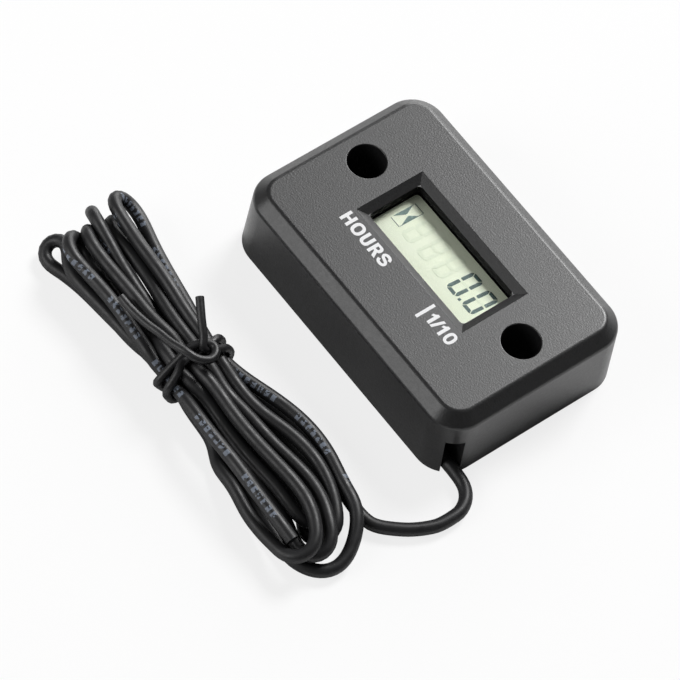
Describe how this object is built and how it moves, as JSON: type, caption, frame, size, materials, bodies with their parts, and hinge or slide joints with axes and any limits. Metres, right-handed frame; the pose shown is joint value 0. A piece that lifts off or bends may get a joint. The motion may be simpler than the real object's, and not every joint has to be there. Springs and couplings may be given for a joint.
{
  "type": "hour meter",
  "caption": "Small rounded hour meter with a bevelled display window, screw holes and a black pick-up lead folded into a tied hank.",
  "frame": {"origin": "centre of the housing's footprint, on the plane its rim stands on", "axes": "+X along the housing's length in the reading direction of the display, +Y towards the top of the figures, +Z out of the face"},
  "size_m": [0.0738, 0.0639, 0.0135],
  "materials": {
    "housing": "fine moulded grain, satin black",
    "lens": "clear polished plastic",
    "polariser": "cream green display ground with dark figures",
    "display_glass": "clear thin glass",
    "reflector": "silvery film",
    "holder": "matt black",
    "elastomer": "striped silicone",
    "laminate": "green board varnish",
    "epoxy": "cast black resin",
    "plated_steel": "nickel plated",
    "capacitor": "tan ceramic with tinned ends",
    "resistor": "black chip with tinned ends",
    "copper": "bright stranded copper",
    "solder": "bright solder",
    "wire_jacket": "satin black insulation with pale print dashes",
    "tie": "black plastic over thin wire"
  },
  "bodies": {
    "root": {"board_screw_1": "plated_steel", "board_screw_2": "plated_steel", "board_screw_3": "plated_steel", "board_screw_4": "plated_steel", "cell_tab_negative": "plated_steel", "cell_tab_positive": "plated_steel", "chip_capacitor_1": "capacitor", "chip_capacitor_2": "capacitor", "chip_capacitor_3": "capacitor", "chip_resistor_1": "resistor", "chip_resistor_2": "resistor", "chip_resistor_3": "resistor", "circuit_board": "laminate", "coin_cell": "plated_steel", "controller_blob": "epoxy", "crystal_can": "plated_steel", "display_front_glass": "display_glass", "display_holder": "holder", "display_polariser": "polariser", "display_rear_glass": "display_glass", "display_reflector": "reflector", "hank_tie": "tie", "housing": "housing", "lead_conductor": "copper", "lead_hank": "wire_jacket", "lead_solder_joint": "solder", "pickup_lead": "wire_jacket", "potting_compound": "epoxy", "window_lens": "lens", "zebra_strip": "elastomer"}
  },
  "joints": []
}
